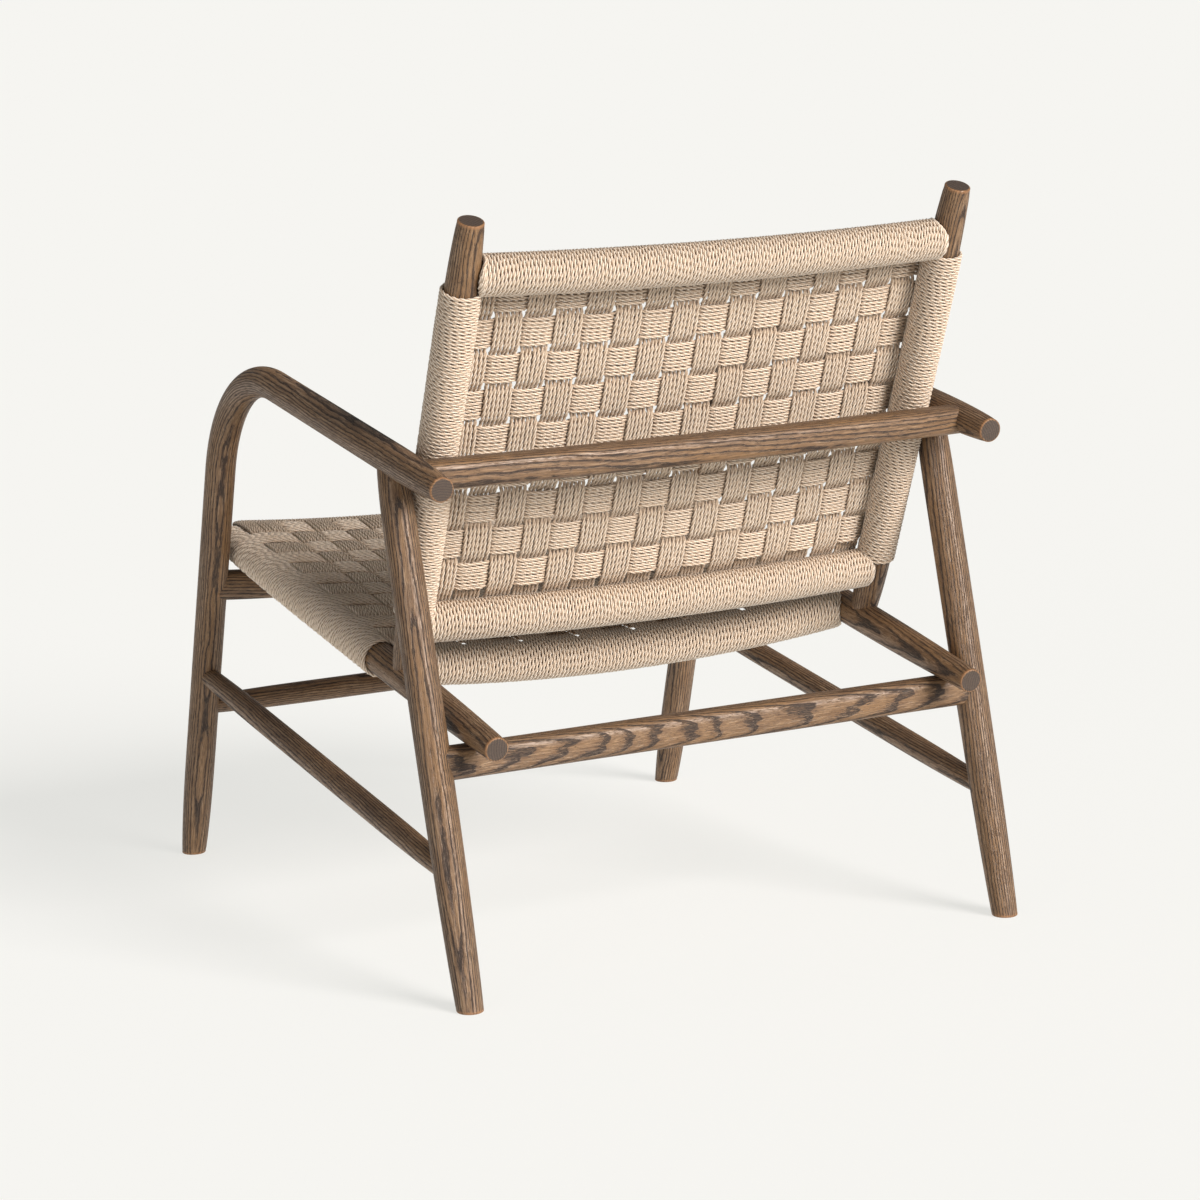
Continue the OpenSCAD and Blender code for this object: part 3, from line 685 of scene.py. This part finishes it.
def over_under(u, edges, sign, lift, place):
    """Rise of a cord that crosses the bands between edges; sign is the first one's.

    place is the cord's own place in its band, -1 to 1: the middle cords rise most.
    """
    band = np.clip(np.searchsorted(edges, u, side="right") - 1, 0, len(edges) - 2)
    t = (u - edges[band]) / (edges[band + 1] - edges[band])
    wave = np.tanh(WAVE_SQUARENESS * np.sin(math.pi * t)) / math.tanh(WAVE_SQUARENESS)
    side = sign * np.where(band % 2 == 0, 1, -1)
    crown = 1 + BAND_CROWN * (1 - 2 * min(1.0, abs(place)) ** 2) * (side > 0)
    return side * lift * crown * wave


CORD_WOBBLE, TURN_WOBBLE, WOBBLE_KNOT = 0.16, 0.1, 14


def wobble(count, size=CORD_WOBBLE):
    """Small hand-made unevenness along a path, in mm."""
    knots = rng.normal(0, size, max(4, count // WOBBLE_KNOT))
    return np.interp(np.linspace(0, 1, count), np.linspace(0, 1, len(knots)), knots)


SEAT_HALF_W = SEAT_COLUMNS * SEAT_COLUMN_W / 2
BACK_HALF_W = BACK_COLUMNS * BACK_COLUMN_W / 2
SEAT_TURN_PITCH = SEAT_COLUMN_W / ROLL_TURNS_PER_COLUMN
BACK_TURN_PITCH = BACK_COLUMN_W / ROLL_TURNS_PER_COLUMN
ROLL_R = RAIL_R + CORD_R + 0.05


def seat_middle(x, y):
    """Height of the seat's sheet over the side rails' axes."""
    share = (-y - REAR_ROLL_RUN) / (FRONT_ROLL_RUN - REAR_ROLL_RUN)
    depth = REAR_DIP + (FRONT_DIP - REAR_DIP) * share
    return SEAT_PLANE_UP - depth * (1 - (x / SHEET_HALF) ** 2)


def back_middle(x, down):
    """How far the back's sheet lies in front of the posts' axes."""
    share = (down - BACK_ROWS_DOWN) / (BACK_ROWS * BACK_ROW_H)
    fore = BACK_PLANE_TOP_FORE + (BACK_PLANE_LOW_FORE - BACK_PLANE_TOP_FORE) * share
    return fore - BACK_BOW * (1 - (x / SHEET_HALF) ** 2)


def fanned(x, column_mid, share):
    """A band spreads a little where it is free of the bars; share is 0 at the bars."""
    return column_mid + (x - column_mid) * (1 + BAND_SPREAD * share)


def free_share(u, first, last, margin=14.0):
    """0 outside the weave, 1 inside it, with a smooth step."""
    t = np.clip((u - first) / margin, 0, 1) * np.clip((last - u) / margin, 0, 1)
    return t * t * (3 - 2 * t)


SEAT_FIRST_Y = -SEAT_ROWS_RUN
SEAT_LAST_Y = SEAT_FIRST_Y + SEAT_ROWS * SEAT_ROW_H
SEAT_ROW_EDGES = SEAT_FIRST_Y + SEAT_ROW_H * np.arange(SEAT_ROWS + 1)
# the outermost bands reach over the rounded ends of the rolls
SEAT_COLUMN_EDGES = np.linspace(-SEAT_HALF_W, SEAT_HALF_W, SEAT_COLUMNS + 1)
SEAT_COLUMN_EDGES[0], SEAT_COLUMN_EDGES[-1] = -SHEET_HALF, SHEET_HALF
BACK_ROW_EDGES = BACK_ROWS_DOWN + BACK_ROW_H * np.arange(BACK_ROWS + 1)
BACK_COLUMN_EDGES = np.linspace(-BACK_HALF_W, BACK_HALF_W, BACK_COLUMNS + 1)


def post_clear(side_off, bar_r):
    """How far from the middle a roll's turn may sit, side_off away from the bar's axis plane."""
    clear = bar_r + CORD_R
    return SEAT_X - np.sqrt(np.maximum(0.0, clear ** 2 - side_off ** 2))


# the cords that round off the seat's outermost columns: distance out, and how much closer
# they lie to the rail as it narrows
OUTER_CORDS = ((0.0, 0.0), (3.9, 0.1), (7.8, 0.4), (11.4, 1.3))
# turns that round off the back's rolls: share of the way to the roll's end, and the same
OUTER_TURNS = ((0.0, 0.0), (0.36, 0.15), (0.70, 0.9), (1.0, 2.4))
# side rail or post thickness beside each roll
FRONT_SIDE_R, REAR_SIDE_R, POST_SIDE_R = 13.6, 17.1, 17.0
# a cord meets the weave this share of a band inside its first and last rows
ROW_INSET, COLUMN_INSET, EDGE_INSET = 0.25, 0.45, 0.2


def seat_warp(groups=((0, 4), (4, 8), (8, 12), (12, 15))):
    """Cords that run from the front roll to the rear roll."""
    for number, (low, high) in enumerate(groups):
        bundle = Bundle()
        for column in range(low, high):
            sign = 1 if column % 2 == 0 else -1
            middle = SEAT_HALF_W - (column + 0.5) * SEAT_COLUMN_W
            cords = [(middle + (k - 3) * SEAT_TURN_PITCH, 0.0) for k in range(COLUMN_CORDS)]
            if column in (0, SEAT_COLUMNS - 1):
                hand = 1 if column == 0 else -1
                cords += [(hand * (SEAT_HALF_W + out), shrink) for out, shrink in OUTER_CORDS]
            for x, shrink in cords:
                path = strung(-FRONT_ROLL_RUN, -bow_depth(x, FRONT_DIP, SEAT_X), ROLL_R - shrink,
                              -REAR_ROLL_RUN, -bow_depth(x, REAR_DIP, SEAT_X), ROLL_R - shrink,
                              SEAT_FIRST_Y + ROW_INSET * SEAT_ROW_H,
                              SEAT_LAST_Y - ROW_INSET * SEAT_ROW_H,
                              lambda u: seat_middle(x, u),
                              lambda u: over_under(u, SEAT_ROW_EDGES, sign, SEAT_LIFT,
                                                   (x - middle) / (3 * SEAT_TURN_PITCH)))
                share = free_share(path[:, 0], SEAT_FIRST_Y, SEAT_LAST_Y)
                across = fanned(x, middle, share) if abs(x) < SEAT_HALF_W - 1 else x + 0 * share
                bar_r = np.where(path[:, 0] < (SEAT_FIRST_Y + SEAT_LAST_Y) / 2, FRONT_SIDE_R,
                                 REAR_SIDE_R)
                across = np.sign(x) * np.minimum(np.abs(across), post_clear(path[:, 1], bar_r))
                points = np.stack([across + wobble(len(path)) * (0.5 + share), path[:, 0],
                                   path[:, 1]], -1)
                bundle.lay(points, (1, 0, 0), SEAT_LIFT)
        bundle.piece("seat_warp_%d" % (number + 1), on_seat, "seat_weave", "seat_front_wrap",
                     "seat_rear_wrap")


def seat_rail_r(y):
    s = RAIL_SPARE - y
    return float(bar_radius(np.array(s), SEAT_RUN + RAIL_SPARE, RAIL_END_D, RAIL_D, RAIL_END_D,
                            RAIL_TAPER, RAIL_TAPER)) + CORD_R


def seat_weft(groups=((0, 3), (3, 6), (6, 9), (9, 11))):
    """Cords that run from side rail to side rail."""
    pitch = SEAT_ROW_H / RAIL_TURNS_PER_ROW
    first = ((1 - EDGE_INSET) * SEAT_COLUMN_EDGES[0] + EDGE_INSET * SEAT_COLUMN_EDGES[1])
    for number, (low, high) in enumerate(groups):
        bundle = Bundle()
        for row in range(low, high):
            sign = -1 if (row + 1 + SEAT_COLUMNS) % 2 == 0 else 1
            for k in range(SEAT_ROW_CORDS):
                y = SEAT_FIRST_Y + row * SEAT_ROW_H + (k + 1) * pitch
                r = seat_rail_r(y)
                path = strung(-SEAT_X, 0.0, r, SEAT_X, 0.0, r, first, -first,
                              lambda u: seat_middle(u, y),
                              lambda u: over_under(u, SEAT_COLUMN_EDGES, sign, SEAT_LIFT,
                                                   (k - 3.5) / 3.5))
                share = free_share(path[:, 0], -SHEET_HALF, SHEET_HALF)
                points = np.stack([path[:, 0], y + wobble(len(path)) * (0.5 + share),
                                   path[:, 1]], -1)
                bundle.lay(points, (0, 1, 0), SEAT_LIFT)
        bundle.piece("seat_weft_%d" % (number + 1), on_seat, "seat_weave", "seat_side_wrap_left",
                     "seat_side_wrap_right")


def back_warp(groups=4):
    """Cords that run from the top roll to the bottom roll."""
    each = BACK_COLUMNS // groups
    top, bottom = TOP_RAIL_DOWN, BOTTOM_RAIL_DOWN
    first, last = BACK_ROWS_DOWN, BACK_ROWS_DOWN + BACK_ROWS * BACK_ROW_H
    for group in range(groups):
        bundle = Bundle()
        for column in range(group * each, (group + 1) * each):
            # up is towards the sitter here; sideways bands show at the rear where the sum is odd
            sign = 1 if column % 2 == 1 else -1
            for k in range(COLUMN_CORDS):
                x = BACK_HALF_W - column * BACK_COLUMN_W - (k + 1) * BACK_TURN_PITCH
                centre = -bow_depth(x, BACK_BOW, SEAT_X)
                path = strung(top, centre, ROLL_R, bottom, centre, ROLL_R,
                              first + ROW_INSET * BACK_ROW_H, last - ROW_INSET * BACK_ROW_H,
                              lambda u: back_middle(x, u),
                              lambda u: over_under(u, BACK_ROW_EDGES, sign, BACK_LIFT,
                                                   (k - 3) / 3))
                share = free_share(path[:, 0], first, last)
                across = fanned(x, BACK_HALF_W - (column + 0.5) * BACK_COLUMN_W, share)
                across = np.sign(across) * np.minimum(np.abs(across),
                                                      post_clear(path[:, 1], POST_SIDE_R))
                points = np.stack([across + wobble(len(path)) * (0.5 + share), -path[:, 1],
                                   -path[:, 0]], -1)
                bundle.lay(points, (1, 0, 0), BACK_LIFT)
        bundle.piece("back_warp_%d" % (group + 1), on_back, "back_weave", "back_top_wrap",
                     "back_bottom_wrap")


def post_r(down):
    return float(bar_radius(np.array(POST_LEN - down), POST_LEN, POST_BOTTOM_D, POST_MID_D,
                            POST_TOP_D, POST_BOTTOM_TAPER, POST_TOP_TAPER)) + CORD_R


def back_weft(groups=((0, 3), (3, 6), (6, 9))):
    """Cords that run from post to post."""
    pitch = BACK_ROW_H / POST_TURNS_PER_ROW
    for number, (low, high) in enumerate(groups):
        bundle = Bundle()
        for row in range(low, high):
            sign = -1 if (row + 1 + BACK_COLUMNS) % 2 == 1 else 1
            for k in range(BACK_ROW_CORDS):
                down = BACK_ROWS_DOWN + row * BACK_ROW_H + (k + 1.5) * pitch
                r = post_r(down)
                path = strung(-SEAT_X, 0.0, r, SEAT_X, 0.0, r,
                              -BACK_HALF_W + COLUMN_INSET * BACK_COLUMN_W,
                              BACK_HALF_W - COLUMN_INSET * BACK_COLUMN_W,
                              lambda u: back_middle(u, down),
                              lambda u: over_under(u, BACK_COLUMN_EDGES, sign, BACK_LIFT,
                                                   (k - 3.5) / 3.5))
                share = free_share(path[:, 0], -BACK_HALF_W, BACK_HALF_W)
                points = np.stack([path[:, 0], -path[:, 1],
                                   -down + wobble(len(path)) * (0.5 + share)], -1)
                bundle.lay(points, (0, 0, 1), BACK_LIFT)
        bundle.piece("back_weft_%d" % (number + 1), on_back, "back_weave", "post_wrap_left",
                     "post_wrap_right")


# one plain turn of cord, its ends just past each other
RING = np.radians(np.linspace(0, 366, 76))


def roll_turns(name, nodes, to_chair, depth, place, start_deg, edges, rounded_ends):
    """Plain turns of a roll: one between each two bands, and more at each rounded end."""
    bundle = Bundle()
    xs = [(x, ROLL_R) for x in edges[1:-1]]
    if rounded_ends:
        for hand in (1, -1):
            for share, shrink in OUTER_TURNS:
                xs.append((hand * (edges[-1] + share * (ROLL_END - edges[-1])), ROLL_R - shrink))
    angle = RING + math.radians(start_deg)
    for x, r in xs:
        level = -bow_depth(min(abs(x), SEAT_X - 1), depth, SEAT_X)
        up, fore = r * np.cos(angle), r * np.sin(angle)
        limit = post_clear(up, POST_SIDE_R)
        across = np.minimum(abs(x), limit) * np.sign(x)
        bundle.lay(place(across + wobble(len(up), TURN_WOBBLE), up + level, fore), (1, 0, 0))
    bundle.piece(name, to_chair, *nodes)


def seat_place(run):
    return lambda x, up, fore: np.stack([x, -run + fore, up], -1)


def back_place(down):
    return lambda x, up, fore: np.stack([x, -up, -down + fore], -1)


def side_turns():
    """Plain turns on the side rails, one between each two rows."""
    pitch = SEAT_ROW_H / RAIL_TURNS_PER_ROW
    bundle = Bundle()
    for hand in (1, -1):
        for row in range(SEAT_ROWS + 1):
            y = SEAT_FIRST_Y + row * SEAT_ROW_H
            r = seat_rail_r(y)
            ring = RING + math.radians(-100 * hand)
            x = hand * SEAT_X + r * np.sin(ring)
            bundle.lay(np.stack([x, y + wobble(len(ring), TURN_WOBBLE), r * np.cos(ring)], -1),
                       (0, 1, 0))
    bundle.piece("seat_side_turns", on_seat, "seat_side_wrap_left", "seat_side_wrap_right")


def post_turns():
    """Plain turns on the posts: two between each two rows, then a solid run to the foot."""
    pitch = BACK_ROW_H / POST_TURNS_PER_ROW
    bundle = Bundle()
    downs = [BACK_ROWS_DOWN + row * BACK_ROW_H + part * pitch
             for row in range(BACK_ROWS + 1) for part in (-0.5, 0.5)][1:]
    extra = downs[-1] + pitch
    while extra < POST_WRAP_END - 1:
        downs.append(extra)
        extra += pitch
    for hand in (1, -1):
        for down in downs:
            r = post_r(down)
            ring = RING + math.radians(-100 * hand)
            x = hand * SEAT_X + r * np.sin(ring)
            bundle.lay(np.stack([x, -r * np.cos(ring), -down + wobble(len(ring), TURN_WOBBLE)],
                                -1), (0, 0, 1))
    bundle.piece("post_turns", on_back, "post_wrap_left", "post_wrap_right")


seat_warp()
seat_weft()
back_warp()
back_weft()
side_turns()
post_turns()
roll_turns("seat_front_turns", ["seat_front_wrap"], on_seat, FRONT_DIP,
           seat_place(FRONT_ROLL_RUN), 100, SEAT_COLUMN_EDGES, False)
roll_turns("seat_rear_turns", ["seat_rear_wrap"], on_seat, REAR_DIP,
           seat_place(REAR_ROLL_RUN), -100, SEAT_COLUMN_EDGES, False)
roll_turns("back_top_turns", ["back_top_wrap"], on_back, BACK_BOW, back_place(TOP_RAIL_DOWN), -100,
           BACK_COLUMN_EDGES, True)
roll_turns("back_bottom_turns", ["back_bottom_wrap"], on_back, BACK_BOW,
           back_place(BOTTOM_RAIL_DOWN), 100, BACK_COLUMN_EDGES, True)


# ------------------------------------------------------------------ stage, light, camera
PAPER = (0.922, 0.913, 0.880, 1.0)
FLOOR_MATTE, FLOOR_GLOW = (0.27, 0.27, 0.27, 1.0), (0.686, 0.686, 0.659, 1.0)
DAYLIGHT = (1, 0.99, 0.97, 1)
CAM_AT = (1.70254, 3.441756, 1.01671)
CAM_AZ, CAM_EL, CAM_ROLL = 153.1634, 10.3732, -2.0321


def make_floor(reach=150.0):
    """A matte floor that glows a little, so that it meets the pale background."""
    mesh = bpy.data.meshes.new("studio_floor")
    mesh.from_pydata([(-reach, -reach, 0), (reach, -reach, 0), (reach, reach, 0),
                      (-reach, reach, 0)], [], [(0, 1, 2, 3)])
    floor = bpy.data.objects.new("studio_floor", mesh)
    bpy.context.scene.collection.objects.link(floor)
    mat = new_material("studio_floor")
    tree = mat.node_tree
    matte = add(tree, "ShaderNodeBsdfDiffuse", {"Color": FLOOR_MATTE})
    glow = add(tree, "ShaderNodeEmission", {"Color": FLOOR_GLOW, "Strength": 1.0})
    both = add(tree, "ShaderNodeAddShader")
    tree.links.new(matte.outputs[0], both.inputs[0])
    tree.links.new(glow.outputs[0], both.inputs[1])
    out = add(tree, "ShaderNodeOutputMaterial")
    tree.links.new(both.outputs[0], out.inputs[0])
    mesh.materials.append(mat)


# the camera's own directions, from its azimuth and elevation round the chair
back_dir = np.array([sind(CAM_AZ) * cosd(CAM_EL), -cosd(CAM_AZ) * cosd(CAM_EL), sind(CAM_EL)])
right_dir = np.array([cosd(CAM_AZ), sind(CAM_AZ), 0.0])
up_dir = np.cross(back_dir, right_dir)
rolled_right = cosd(CAM_ROLL) * right_dir + sind(CAM_ROLL) * up_dir
rolled_up = -sind(CAM_ROLL) * right_dir + cosd(CAM_ROLL) * up_dir


def axes_at(right, up, back, place):
    """Matrix of an object with these axes at this place."""
    return Matrix([(right[k], up[k], back[k], place[k]) for k in range(3)] + [(0, 0, 0, 1)])


def sun(name, direction, strength, spread, colour):
    """A soft sun that shines from direction (as seen from the chair)."""
    light = bpy.data.lights.new(name, "SUN")
    light.energy, light.angle, light.color = strength, math.radians(spread), colour
    lamp = bpy.data.objects.new(name, light)
    back = unit(np.array(direction, float))
    side = unit(np.cross((0, 0, 1.0), back))
    top = np.cross(back, side)
    lamp.matrix_world = axes_at(side, top, back, (0, 0, 0))
    bpy.context.scene.collection.objects.link(lamp)


make_floor()
level_back = unit(np.array([back_dir[0], back_dir[1], 0]))
sun("key", right_dir * 0.76 + level_back * 0.68 + np.array([0, 0, 0.50]), 4.5, 28,
    (1.0, 0.955, 0.925))
sun("fill", -right_dir * 0.5 + level_back * 1.0 + np.array([0, 0, 0.12]), 0.5, 30,
    (0.98, 0.98, 1.0))

world = bpy.data.worlds.new("studio")
bpy.context.scene.world = world
world.use_nodes = True
tree = world.node_tree
tree.nodes.clear()
seen = add(tree, "ShaderNodeBackground", {"Color": PAPER, "Strength": 1.0})
felt = add(tree, "ShaderNodeBackground", {"Color": DAYLIGHT, "Strength": 0.22})
mix = add(tree, "ShaderNodeMixShader",
          {0: add(tree, "ShaderNodeLightPath").outputs["Is Camera Ray"]})
tree.links.new(felt.outputs[0], mix.inputs[1])
tree.links.new(seen.outputs[0], mix.inputs[2])
tree.links.new(mix.outputs[0], add(tree, "ShaderNodeOutputWorld").inputs[0])
bpy.context.scene.view_settings.view_transform = "Standard"

lens = bpy.data.cameras.new("camera")
lens.lens, lens.sensor_width = 107.47, 36.0
lens.shift_x, lens.shift_y = -0.0008, 0.0014
lens.clip_end = 500.0
camera = bpy.data.objects.new("camera", lens)
camera.matrix_world = axes_at(rolled_right, rolled_up, back_dir, CAM_AT)
bpy.context.scene.collection.objects.link(camera)
bpy.context.scene.camera = camera
